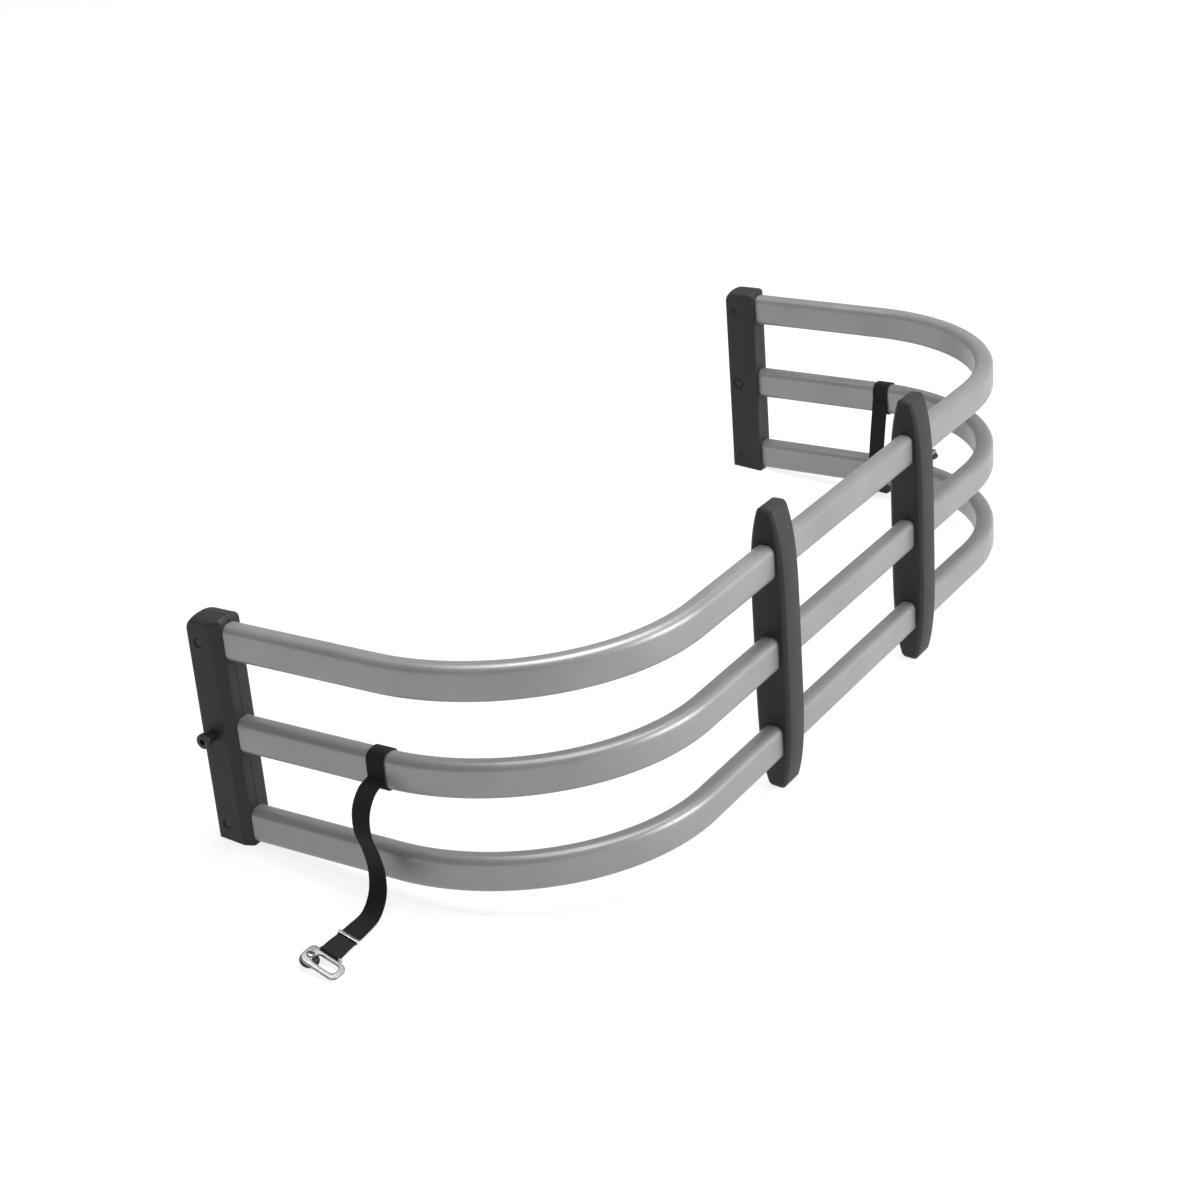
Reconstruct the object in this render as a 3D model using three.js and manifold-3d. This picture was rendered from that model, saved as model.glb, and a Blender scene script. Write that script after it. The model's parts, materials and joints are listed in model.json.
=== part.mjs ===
// Truck-bed extender: a U-shaped cage of three stacked rails that telescope across the width,
// with moulded uprights and two webbing tie-down straps.
// Millimetres, +Z up. The cage is drawn level (rails horizontal, z = 0 on the middle rail, y = 0 on
// the front face of the rails) and is then leaned back to the angle at which it stands on its feet.

import * as THREE from 'three';
import { mergeVertices } from 'three/addons/utils/BufferGeometryUtils.js';
import Module from 'manifold-3d';

const wasm = await Module();
wasm.setup();

// ---------------------------------------------------------------- driving dimensions
const GAP = 0.3;                      // clearance between pieces that meet
const RAIL_PITCH = 127;               // height from one rail to the next
const LEAN = THREE.MathUtils.degToRad(5);
const FOOT_DROP = 196;                // middle rail down to the feet, at the front rails

const OUTER_RAIL = { height: 47.5, depth: 27.5, corner: 10.5, wall: 1.2 };
const INNER_RAIL = { height: 44.5, depth: 24.5, corner: 9, wall: 1.6 };
const BEND_CLEARANCE = 31;            // an inner rail stops this far short of the bends
const HALF_WIDTH = 690;               // outer face of an arm
const BEND_RADIUS = 273;              // on the rail's centre line
const BEND_STEPS = 12;
const SOFT_START = 0.97;              // an extra step where the bend meets the arm, under the strap's loop
const ARM_END = 505;                  // where an arm enters its end upright
const ARM_INSERT = 16;                // how far it goes in

const CENTRE_UPRIGHT = { outerX: 228, width: 46, top: 199, halfDepth: 24.5, chamfer: 4.5, socket: 28 };
const PROFILE_REACH = 222;            // height at which the centre upright's outline would close
const PROFILE_POWER = 4.8;            // how late its sides turn in
const CLAMP_SCREW = { radius: 4, inset: 9, recess: 2.5 };

const END_UPRIGHT = { width: 44, depth: 52, top: 160, crown: 5, backCorner: 14, frontCorner: 6, edge: 4 };
const OUTER_BEVEL = { back: 14, across: 7 };    // broad bevel along the end upright's outer front edge
const BOLT_SETBACK = 35;              // bolt line behind the end upright's front face
const BOLT = { shank: 3, head: 5.5, headHeight: 4, seat: 6.2, recess: 1 };
const PIVOT = { shoulder: 7, head: 10, headHeight: 8, stand: 12, thread: 5, nut: 8, nutHeight: 6 };

const STRAP = { width: 26, thickness: 1.6 };
const LOOP_SLACK = 0.7;               // between a strap's loop and the rail inside it
// Where each strap's loop sits along its arm, and how far it is turned to follow the bend.
const LOOPS = { left: { y: 293.5, turn: 0 }, right: { y: 281, turn: THREE.MathUtils.degToRad(1.3) } };
// The latch plate runs from `near` (its knob end) to `far` along its bar, which is its hinge.
const PLATE = { near: -25, far: 29, width: 32.5, thickness: 4, tilt: THREE.MathUtils.degToRad(14.8) };
const KNOB = { radius: 12, height: 8.4, screw: 2, cap: 4 };
const STANDING_CENTRE_Y = 273.7;      // middle of the standing cage, front to back

const railY = OUTER_RAIL.depth / 2;
const armX = HALF_WIDTH - railY;
const bendX = armX - BEND_RADIUS;
const bendY = railY + BEND_RADIUS;
const railLevels = { top: RAIL_PITCH, middle: 0, bottom: -RAIL_PITCH };

// ---------------------------------------------------------------- materials
function finish(color, roughness, metalness) {
  return new THREE.MeshStandardMaterial({ color, roughness, metalness });
}
const looks = {
  aluminium: () => finish(0xa8a8a6, 0.42, 0.85),
  plastic: () => finish(0x2b2b2c, 0.6, 0),
  steel: () => finish(0x1d1d1e, 0.45, 0.6),
  webbing: () => finish(0x1c1b1b, 0.9, 0),
  casting: () => finish(0xc9c9c5, 0.35, 0.8),
};

// ---------------------------------------------------------------- solids
function toSolid(geometry) {
  const bare = geometry.index ? geometry.toNonIndexed() : geometry.clone();
  bare.deleteAttribute('normal');
  bare.deleteAttribute('uv');
  const merged = mergeVertices(bare, 1e-4);
  const index = merged.index.array;
  const triangles = [];
  for (let i = 0; i < index.length; i += 3) {
    const [a, b, c] = [index[i], index[i + 1], index[i + 2]];
    if (a !== b && b !== c && c !== a) triangles.push(a, b, c);
  }
  const mesh = new wasm.Mesh({
    numProp: 3,
    vertProperties: new Float32Array(merged.attributes.position.array),
    triVerts: new Uint32Array(triangles),
  });
  return new wasm.Manifold(mesh);
}

function toGeometry(solid) {
  const mesh = solid.getMesh();
  const geometry = new THREE.BufferGeometry();
  geometry.setAttribute('position', new THREE.BufferAttribute(mesh.vertProperties, 3));
  geometry.setIndex(new THREE.BufferAttribute(mesh.triVerts, 1));
  geometry.computeVertexNormals();
  return geometry;
}

function cut(base, ...tools) {
  let solid = toSolid(base);
  for (const tool of tools) solid = solid.subtract(toSolid(tool));
  return toGeometry(solid);
}

function piece(name, geometry, look) {
  const mesh = new THREE.Mesh(geometry, looks[look]());
  mesh.name = name;
  return mesh;
}

// ---------------------------------------------------------------- outlines
// Rounded rectangle, long side along x, centred on the origin.
function roundedRectangle(Outline, length, breadth, radius, corners = 3) {
  const outline = new Outline();
  const [x, y] = [length / 2 - radius, breadth / 2 - radius];
  const points = [];
  [[x, y], [-x, y], [-x, -y], [x, -y]].forEach(([cx, cy], quarter) => {
    for (let step = 0; step <= corners; step += 1) {
      const angle = (quarter + step / corners) * Math.PI / 2;
      points.push(new THREE.Vector2(cx + radius * Math.cos(angle), cy + radius * Math.sin(angle)));
    }
  });
  outline.setFromPoints(points);
  return outline;
}

// The rail's section with its height along x and its depth along y, as a path sweep needs it.
function railSection(rail, hollow = true, grow = 0) {
  const section = roundedRectangle(THREE.Shape, rail.height + 2 * grow, rail.depth + 2 * grow,
    rail.corner + grow);
  if (hollow) {
    section.holes.push(roundedRectangle(THREE.Path, rail.height - 2 * rail.wall,
      rail.depth - 2 * rail.wall, rail.corner - rail.wall));
  }
  return section;
}

// ---------------------------------------------------------------- paths
// A path through given stations, each with its own direction, so that straight runs take one step.
class StationPath extends THREE.Curve {
  constructor(stations, across = () => new THREE.Vector3(0, 0, 1)) {
    super();
    this.stations = stations;
    this.across = across;
  }

  getUtoTmapping(u) {
    return u;
  }

  getPoint(t, target = new THREE.Vector3()) {
    const place = t * (this.stations.length - 1);
    const from = Math.min(Math.floor(place), this.stations.length - 2);
    return target.lerpVectors(this.stations[from].point, this.stations[from + 1].point, place - from);
  }

  // The section's x axis follows `across`, its y axis the direction square to that and to the path.
  computeFrenetFrames(steps) {
    const frames = { tangents: [], normals: [], binormals: [] };
    for (let step = 0; step <= steps; step += 1) {
      const tangent = this.stations[step].direction.clone().normalize();
      const binormal = tangent.clone().cross(this.across(step / steps)).normalize();
      frames.tangents.push(tangent);
      frames.normals.push(binormal.clone().cross(tangent).normalize());
      frames.binormals.push(binormal);
    }
    return frames;
  }
}

function sweep(section, path) {
  return new THREE.ExtrudeGeometry(section, { steps: path.stations.length - 1, extrudePath: path });
}

function station(x, y, z, dx, dy, dz) {
  return { point: new THREE.Vector3(x, y, z), direction: new THREE.Vector3(dx, dy, dz) };
}

// ---------------------------------------------------------------- rails
function innerRail(level) {
  const reach = bendX - BEND_CLEARANCE;
  const path = new StationPath([station(-reach, railY, level, 1, 0, 0), station(reach, railY, level, 1, 0, 0)]);
  return sweep(railSection(INNER_RAIL), path);
}

// J-shaped: from its socket in the centre upright, round the bend and back along the arm.
function outerRail(side, level) {
  const start = CENTRE_UPRIGHT.outerX - CENTRE_UPRIGHT.socket + GAP;
  const stations = [station(side * start, railY, level, side, 0, 0)];
  const shares = Array.from({ length: BEND_STEPS }, (_, step) => step / BEND_STEPS);
  for (const share of [...shares, SOFT_START, 1]) {
    const angle = share * Math.PI / 2;
    const [sin, cos] = [Math.sin(angle), Math.cos(angle)];
    stations.push(station(side * (bendX + BEND_RADIUS * sin), bendY - BEND_RADIUS * cos, level,
      side * cos, sin, 0));
  }
  stations.push(station(side * armX, ARM_END + ARM_INSERT, level, 0, 1, 0));
  return sweep(railSection(OUTER_RAIL), new StationPath(stations));
}

// A plug of a rail's outer shape plus clearance, for cutting the hole that takes the rail.
function railPlug(rail, from, to) {
  const direction = to.clone().sub(from).normalize();
  const ends = [from, to].map((point) => ({ point, direction }));
  return sweep(railSection(rail, false, GAP), new StationPath(ends));
}

// ---------------------------------------------------------------- centre uprights
function floorHeight(y) {
  return -FOOT_DROP + Math.tan(LEAN) * (y - railY);
}

function uprightHalfDepth(z) {
  return CENTRE_UPRIGHT.halfDepth * (1 - (Math.abs(z) / PROFILE_REACH) ** PROFILE_POWER);
}

// Side outline as a shape in (y, z): sides that turn in towards a blunt top and foot.
function centreUprightOutline() {
  const levels = [0, 60, 95, 120, 140, 156, 170, 182, 192, CENTRE_UPRIGHT.top];
  const side = (sign, z) => new THREE.Vector2(railY + sign * uprightHalfDepth(z), z);
  const back = levels.map((z) => side(1, z));
  const front = levels.map((z) => side(-1, z)).reverse();
  const below = levels.slice(1, -1);
  const foot = [-1, 1].map((sign) => {
    const y = railY + sign * uprightHalfDepth(FOOT_DROP);
    return new THREE.Vector2(y, floorHeight(y));
  });
  const frontBelow = below.map((z) => side(-1, -z));
  const backBelow = below.map((z) => side(1, -z)).reverse();
  return new THREE.Shape([...back, ...front, ...frontBelow, ...foot, ...backBelow]);
}

// Extrudes a (y, z) outline along +x from x = 0, with its edges chamfered all round.
function extrudeAcross(outline, width, chamfer) {
  const geometry = new THREE.ExtrudeGeometry(outline, {
    depth: width - 2 * chamfer,
    bevelEnabled: chamfer > 0,
    bevelThickness: chamfer,
    bevelSize: chamfer,
    bevelOffset: -chamfer,
    bevelSegments: 1,
    curveSegments: 8,
  });
  const [x, y, z] = [new THREE.Vector3(0, 1, 0), new THREE.Vector3(0, 0, 1), new THREE.Vector3(1, 0, 0)];
  geometry.applyMatrix4(new THREE.Matrix4().makeBasis(x, y, z));
  return geometry.translate(chamfer, 0, 0);
}

function rodAlong(axis, radius, from, to, segments = 16) {
  const length = to.distanceTo(from);
  const geometry = new THREE.CylinderGeometry(radius, radius, length, segments);
  geometry.applyQuaternion(new THREE.Quaternion().setFromUnitVectors(new THREE.Vector3(0, 1, 0), axis));
  const middle = from.clone().add(to).multiplyScalar(0.5);
  return geometry.translate(middle.x, middle.y, middle.z);
}

function clampScrewPlace(side, level) {
  const x = side * (CENTRE_UPRIGHT.outerX - CENTRE_UPRIGHT.width + CLAMP_SCREW.inset);
  const face = railY + uprightHalfDepth(level);
  return { x, from: railY + INNER_RAIL.depth / 2, to: face, level };
}

function clampScrewRod(place, radius, from, to) {
  const axis = new THREE.Vector3(0, 1, 0);
  return rodAlong(axis, radius, new THREE.Vector3(place.x, from, place.level),
    new THREE.Vector3(place.x, to, place.level), 12);
}

function centreUpright(side) {
  const { outerX, width, chamfer, socket } = CENTRE_UPRIGHT;
  const body = extrudeAcross(centreUprightOutline(), width, chamfer);
  body.translate(side > 0 ? outerX - width : -outerX, 0, 0);
  const tools = [];
  for (const level of Object.values(railLevels)) {
    const at = (x) => new THREE.Vector3(side * x, railY, level);
    tools.push(railPlug(OUTER_RAIL, at(outerX - socket), at(outerX + 10)));
    tools.push(railPlug(INNER_RAIL, at(outerX - width - 10), at(outerX - socket + 1)));
    const place = clampScrewPlace(side, level);
    tools.push(clampScrewRod(place, CLAMP_SCREW.radius + GAP, place.from - 2, place.to + 10));
  }
  return cut(body, ...tools);
}

function clampScrew(side, level) {
  const place = clampScrewPlace(side, level);
  const outer = place.to - CLAMP_SCREW.recess;
  const socket = clampScrewRod(place, CLAMP_SCREW.radius / 2, outer - 2.5, outer + 1);
  return cut(clampScrewRod(place, CLAMP_SCREW.radius, place.from + GAP, outer), socket);
}

// ---------------------------------------------------------------- end uprights
function arcPoints(cx, cy, radius, fromAngle, toAngle, steps) {
  const points = [];
  for (let step = 0; step <= steps; step += 1) {
    const angle = fromAngle + (toAngle - fromAngle) * step / steps;
    points.push(new THREE.Vector2(cx + radius * Math.cos(angle), cy + radius * Math.sin(angle)));
  }
  return points;
}

// Side outline in (y, z): square front, rounded top back corner, foot cut to the floor.
function endUprightOutline() {
  const { depth, top, backCorner, frontCorner } = END_UPRIGHT;
  const [front, back] = [ARM_END, ARM_END + depth];
  return new THREE.Shape([
    new THREE.Vector2(front, floorHeight(front)),
    new THREE.Vector2(back, floorHeight(back)),
    ...arcPoints(back - backCorner, top - backCorner, backCorner, 0, Math.PI / 2, 6),
    ...arcPoints(front + frontCorner, top - frontCorner, frontCorner, Math.PI / 2, Math.PI, 3),
  ]);
}

// Makes an outline from points whose x counts outwards from an arm's middle plane, to one side of it:
// `half` is 1 for the outside of the cage and -1 for the inside.
function besideArm(side, half, points) {
  return new THREE.Shape(points.map(({ x, y }) => new THREE.Vector2(side * (armX + half * x), y)));
}

// Half of the plan section in (x, y). The outside of the cage has the broad bevel, the inside a
// small round.
function endShellPlan(half) {
  const { width, depth, edge } = END_UPRIGHT;
  const [face, back] = [width / 2, ARM_END + depth];
  const front = half > 0
    ? [new THREE.Vector2(face - OUTER_BEVEL.across, ARM_END), new THREE.Vector2(face, ARM_END + OUTER_BEVEL.back)]
    : arcPoints(face - edge, ARM_END + edge, edge, -Math.PI / 2, 0, 3);
  return [
    new THREE.Vector2(GAP / 2, ARM_END),
    ...front,
    ...arcPoints(face - edge, back - edge, edge, 0, Math.PI / 2, 3),
    new THREE.Vector2(GAP / 2, back),
  ];
}

// Half of the front outline in (x, z), with a crowned top.
function endShellFront() {
  const { width, top, crown } = END_UPRIGHT;
  const steps = 5;
  const crownPoints = [];
  for (let step = 0; step <= steps; step += 1) {
    const share = 1 - step / steps;
    crownPoints.push(new THREE.Vector2(share * width / 2, top - crown * share ** 2.5));
  }
  const wellBelow = -2 * FOOT_DROP;
  return [new THREE.Vector2(0, wellBelow), new THREE.Vector2(width / 2, wellBelow), ...crownPoints];
}

const boltLine = ARM_END + BOLT_SETBACK;
const innerFaceX = armX - END_UPRIGHT.width / 2;
const outerFaceX = armX + END_UPRIGHT.width / 2;

function crossRod(side, radius, fromX, toX, level, segments = 16) {
  const at = (x) => new THREE.Vector3(side * x, boltLine, level);
  return rodAlong(new THREE.Vector3(1, 0, 0), radius, at(fromX), at(toX), segments);
}

// A clamshell half, which is what its side, plan and front outlines have in common.
function endShell(side, half) {
  const { width, depth } = END_UPRIGHT;
  const sideView = extrudeAcross(endUprightOutline(), 2 * width, 0);
  sideView.translate(side * armX - width, 0, 0);
  const plan = besideArm(side, half, endShellPlan(half));
  const planView = new THREE.ExtrudeGeometry(plan, { depth: 4 * FOOT_DROP, bevelEnabled: false });
  planView.translate(0, 0, -2 * FOOT_DROP);
  const front = besideArm(side, half, endShellFront());
  const frontView = new THREE.ExtrudeGeometry(front, { depth: 2 * depth, bevelEnabled: false });
  frontView.rotateX(Math.PI / 2).translate(0, ARM_END + 1.5 * depth, 0);
  let shell = toSolid(sideView).intersect(toSolid(planView)).intersect(toSolid(frontView));
  for (const level of Object.values(railLevels)) {
    const at = (y) => new THREE.Vector3(side * armX, y, level);
    shell = shell.subtract(toSolid(railPlug(OUTER_RAIL, at(ARM_END - 10), at(ARM_END + ARM_INSERT + GAP))));
    for (const hole of boltHoles(side, level)) shell = shell.subtract(toSolid(hole));
  }
  return toGeometry(shell);
}

function boltHoles(side, level) {
  const shank = level === 0 ? PIVOT.shoulder : BOLT.shank;
  const through = crossRod(side, shank + GAP, innerFaceX - 5, outerFaceX + 5, level);
  const innerDepth = level === 0 ? PIVOT.nutHeight : BOLT.headHeight + BOLT.recess;
  const innerSeat = crossRod(side, level === 0 ? PIVOT.nut + 1 : BOLT.seat, innerFaceX - 5,
    innerFaceX + innerDepth + GAP, level);
  if (level === 0) return [through, innerSeat];
  const outerSeat = crossRod(side, BOLT.seat, outerFaceX - BOLT.headHeight - BOLT.recess - GAP,
    outerFaceX + 5, level);
  return [through, innerSeat, outerSeat];
}

// ---------------------------------------------------------------- bolts, nuts and pivot pins
// Turns a profile of [radius, x] pairs about the x axis; x counts outwards from the cage's middle.
function turned(side, profile, level, segments = 16) {
  const points = profile.map(([radius, x]) => new THREE.Vector2(radius, x));
  const geometry = new THREE.LatheGeometry(points, segments);
  geometry.rotateZ(-side * Math.PI / 2);
  return geometry.translate(0, boltLine, level);
}

function pivotPin(side) {
  const neckEnd = outerFaceX + PIVOT.stand;
  const headEnd = neckEnd + PIVOT.headHeight;
  const shoulderStart = innerFaceX + PIVOT.nutHeight + 2 * GAP;
  const socket = { radius: 4, depth: 4 };
  return turned(side, [
    [0, innerFaceX + 1],
    [PIVOT.thread, innerFaceX + 1],
    [PIVOT.thread, shoulderStart],
    [PIVOT.shoulder, shoulderStart],
    [PIVOT.shoulder, neckEnd],
    [PIVOT.head, neckEnd],
    [PIVOT.head, headEnd - 1.5],
    [PIVOT.head - 1.5, headEnd],
    [socket.radius, headEnd],
    [socket.radius, headEnd - socket.depth],
    [0, headEnd - socket.depth],
  ], 0, 24);
}

function hexagonRing(side, radius, hole, fromX, toX, level) {
  const ring = new THREE.Shape(arcPoints(0, 0, radius, 0, Math.PI * 5 / 3, 5));
  ring.holes.push(new THREE.Path(arcPoints(0, 0, hole, 0, Math.PI * 11 / 6, 11)));
  const geometry = new THREE.ExtrudeGeometry(ring, { depth: toX - fromX, bevelEnabled: false });
  geometry.rotateY(Math.PI / 2);
  return geometry.translate(side > 0 ? fromX : -toX, boltLine, level);
}

function pivotNut(side) {
  return hexagonRing(side, PIVOT.nut, PIVOT.thread + GAP, innerFaceX + GAP, innerFaceX + PIVOT.nutHeight, 0);
}

function endBolt(side, level) {
  const headStart = innerFaceX + BOLT.recess;
  const socket = { radius: 2.6, depth: 2 };
  return turned(side, [
    [0, headStart + socket.depth],
    [socket.radius, headStart + socket.depth],
    [socket.radius, headStart],
    [BOLT.head, headStart],
    [BOLT.head, headStart + BOLT.headHeight],
    [BOLT.shank, headStart + BOLT.headHeight],
    [BOLT.shank, outerFaceX - BOLT.recess - GAP],
    [0, outerFaceX - BOLT.recess - GAP],
  ], level, 12);
}

function endNut(side, level) {
  const outer = outerFaceX - BOLT.recess;
  return hexagonRing(side, BOLT.head, BOLT.shank + GAP, outer - BOLT.headHeight, outer, level);
}

// ---------------------------------------------------------------- strap loop on the middle rail
function strapLoop(side) {
  const { y, turn } = side < 0 ? LOOPS.left : LOOPS.right;
  const outside = LOOP_SLACK + STRAP.thickness;
  const loop = roundedRectangle(THREE.Shape, OUTER_RAIL.height + 2 * outside,
    OUTER_RAIL.depth + 2 * outside, OUTER_RAIL.corner + outside);
  loop.holes.push(roundedRectangle(THREE.Path, OUTER_RAIL.height + 2 * LOOP_SLACK,
    OUTER_RAIL.depth + 2 * LOOP_SLACK, OUTER_RAIL.corner + LOOP_SLACK));
  const half = STRAP.width / 2;
  const ring = sweep(loop, new StationPath([station(0, -half, 0, 0, 1, 0), station(0, half, 0, 0, 1, 0)]));
  return ring.rotateZ(-side * turn).translate(side * armX, y, 0);
}

// ---------------------------------------------------------------- strap tails, in the standing frame
// Each route is the strap's middle line, with x counted outwards from the middle of the cage. The
// left strap leaves the outside of its loop and bows out past the bottom rail; the right one leaves
// the inside of its loop, drops behind the bottom rail and passes under it. Both end at a latch plate
// lying on the floor.
const STRAP_ROUTES = {
  left: [
    [692.8, 291.7, 162.5], [711, 291.7, 156.5], [727, 289.5, 138], [730.5, 286, 110], [722.5, 281.5, 80],
    [718.5, 277.5, 52], [725, 273, 25], [745, 268.5, 9], [775, 266.2, 6.6], [803, 264.4, 8],
    [830.6, 262.2, 9.2],
  ],
  right: [
    [658.7, 279.6, 170], [658.6, 279.4, 158], [657, 279, 140], [655, 278.5, 110], [653, 277.5, 80],
    [652.5, 276.5, 50], [655, 276, 26], [668, 276, 8.6], [694, 276.3, 4.2], [730, 277.1, 4.2],
    [770, 278, 6.6], [799, 278.5, 7.8], [828.2, 278.7, 9.2],
  ],
};
const STRAP_STEPS = 34;
const TWIST_SHARES = { left: [0.62, 0.85], right: [0.68, 0.88] };   // where its edge starts to lift

const strapCurves = Object.fromEntries(Object.entries({ left: -1, right: 1 }).map(([name, side]) => [side,
  new THREE.CatmullRomCurve3(STRAP_ROUTES[name].map(([x, y, z]) => new THREE.Vector3(side * x, y, z)),
    false, 'centripetal')]));

// The strap's width direction, level at first and then turned to the latch plate's tilt.
function strapAcross(side, share) {
  const [from, to] = side < 0 ? TWIST_SHARES.left : TWIST_SHARES.right;
  const twist = -side * PLATE.tilt * THREE.MathUtils.smoothstep(share, from, to);
  return new THREE.Vector3(0, Math.cos(twist), Math.sin(twist));
}

function strapPath(side) {
  const stations = [];
  for (let step = 0; step <= STRAP_STEPS; step += 1) {
    const share = step / STRAP_STEPS;
    const curve = strapCurves[side];
    stations.push({ point: curve.getPointAt(share), direction: curve.getTangentAt(share) });
  }
  return new StationPath(stations, (share) => strapAcross(side, share));
}

function strapTail(side) {
  return sweep(roundedRectangle(THREE.Shape, STRAP.width, STRAP.thickness, 0.4, 1), strapPath(side));
}

// ---------------------------------------------------------------- slider and latch
// The hardware on each strap's end is the same, turned half way round for the left side. In its own
// frame x points away from the cage, y along the bar and away from the knob, z square to the plate.
function place(geometry, side, [x, y, z]) {
  geometry.rotateX(-PLATE.tilt);
  if (side < 0) geometry.rotateZ(Math.PI);
  return geometry.translate(side * x, y, z);
}

const SLIDER = { fromEnd: 36, width: 5, wall: 1.3, play: 0.4 };

function slider(side) {
  const opening = { length: STRAP.width + 2 * SLIDER.play, height: STRAP.thickness + 2 * SLIDER.play };
  const ring = roundedRectangle(THREE.Shape, opening.length + 2 * SLIDER.wall,
    opening.height + 2 * SLIDER.wall, 1.2, 2);
  ring.holes.push(roundedRectangle(THREE.Path, opening.length, opening.height, 0.3, 1));
  const geometry = new THREE.ExtrudeGeometry(ring, { depth: SLIDER.width, bevelEnabled: false });
  geometry.translate(0, 0, -SLIDER.width / 2);
  const [x, y, z] = [new THREE.Vector3(0, 1, 0), new THREE.Vector3(0, 0, 1), new THREE.Vector3(1, 0, 0)];
  geometry.applyMatrix4(new THREE.Matrix4().makeBasis(x, y, z));
  return placeOnStrap(geometry, side);
}

// Sets a piece round the strap, a fixed way before the strap's end.
function placeOnStrap(geometry, side) {
  const curve = strapCurves[side];
  const share = 1 - SLIDER.fromEnd / curve.getLength();
  const direction = curve.getTangentAt(share);
  const binormal = direction.clone().cross(strapAcross(side, share)).normalize();
  const normal = binormal.clone().cross(direction).normalize();
  geometry.applyMatrix4(new THREE.Matrix4().makeBasis(direction, normal, binormal));
  const point = curve.getPointAt(share);
  return geometry.translate(point.x, point.y, point.z);
}

// The plate swings about the round bar at its strap side, which is the local origin.
const PLATE_AXES = { left: [833.8, 260.5, 9.5], right: [830.8, 280.4, 9.5] };
const WINDOW = { x: 17.25, y: 5.5, length: 33, width: 16.5, radius: 6 };
const SCREW_SPOT = { x: 18, y: -16 };
const BAR_ENDS = [-17, 15.5];         // where the plate's strap side meets the bar's line

function plateOutline() {
  const { near, far, width } = PLATE;
  const [round, knobRound] = [8, 12];
  return new THREE.Shape([
    new THREE.Vector2(0, BAR_ENDS[1]),
    new THREE.Vector2(0, BAR_ENDS[0]),
    ...arcPoints(round, near + round, round, Math.PI, Math.PI * 3 / 2, 4),
    ...arcPoints(width - knobRound, near + knobRound, knobRound, -Math.PI / 2, 0, 5),
    ...arcPoints(width - round, far - round, round, 0, Math.PI / 2, 4),
    ...arcPoints(round + 4, far - round, round, Math.PI / 2, Math.PI, 4),
  ]);
}

function latchPlate(side) {
  const { thickness } = PLATE;
  const slab = new THREE.ExtrudeGeometry(plateOutline(), { depth: thickness, bevelEnabled: false });
  slab.translate(0, 0, -thickness / 2);
  const through = 5 * thickness;
  const opening = roundedRectangle(THREE.Shape, WINDOW.length, WINDOW.width, WINDOW.radius, 3);
  const windowTool = new THREE.ExtrudeGeometry(opening, { depth: through, bevelEnabled: false });
  windowTool.rotateZ(Math.PI / 2);
  windowTool.translate(WINDOW.x, WINDOW.y, -through / 2);
  const [barStart, barEnd] = BAR_ENDS.map((y) => new THREE.Vector3(0, y, 0));
  const bar = rodAlong(new THREE.Vector3(0, 1, 0), thickness / 2, barStart, barEnd, 16);
  const bore = KNOB.screw + GAP;
  const screwHole = new THREE.CylinderGeometry(bore, bore, through, 12).rotateX(Math.PI / 2);
  screwHole.translate(SCREW_SPOT.x, SCREW_SPOT.y, 0);
  const solid = toSolid(slab).add(toSolid(bar)).subtract(toSolid(windowTool)).subtract(toSolid(screwHole));
  return placeOnPlate(toGeometry(solid), side);
}

function placeOnPlate(geometry, side) {
  return place(geometry, side, side < 0 ? PLATE_AXES.left : PLATE_AXES.right);
}

// Lathe profile of [radius, z] pairs about the screw's axis.
function turnedOnPlate(side, profile, segments) {
  const geometry = new THREE.LatheGeometry(profile.map(([radius, z]) => new THREE.Vector2(radius, z)), segments);
  geometry.rotateX(Math.PI / 2);
  geometry.translate(SCREW_SPOT.x, SCREW_SPOT.y, 0);
  return placeOnPlate(geometry, side);
}

function knobScrew(side) {
  const { screw, cap, height } = KNOB;
  const seat = PLATE.thickness / 2 + GAP;
  const tip = -seat - height + 3;
  const [edge, top, socket] = [seat + 0.8, seat + 1.6, 1.4];
  return turnedOnPlate(side, [
    [0, tip], [screw, tip], [screw, seat], [cap, seat], [cap, edge], [cap - 1.2, top], [socket, top],
    [socket, seat + 0.6], [0, seat + 0.6],
  ], 16);
}

// Turned knob with a slightly narrower collar next to the plate.
function knob(side) {
  const { radius, height, screw } = KNOB;
  const topFace = -PLATE.thickness / 2 - GAP;
  const base = topFace - height;
  const collar = { radius: radius - 1.5, end: topFace - 2.6 };
  const bore = { radius: screw + GAP, end: base + 2 };
  return turnedOnPlate(side, [
    [0, base], [radius - 1.2, base], [radius, base + 1.2], [radius, collar.end - 0.8],
    [collar.radius, collar.end], [collar.radius, topFace], [bore.radius, topFace], [bore.radius, bore.end],
    [0, bore.end],
  ], 24);
}

// ---------------------------------------------------------------- assembly
const sides = { left: -1, right: 1 };

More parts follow.
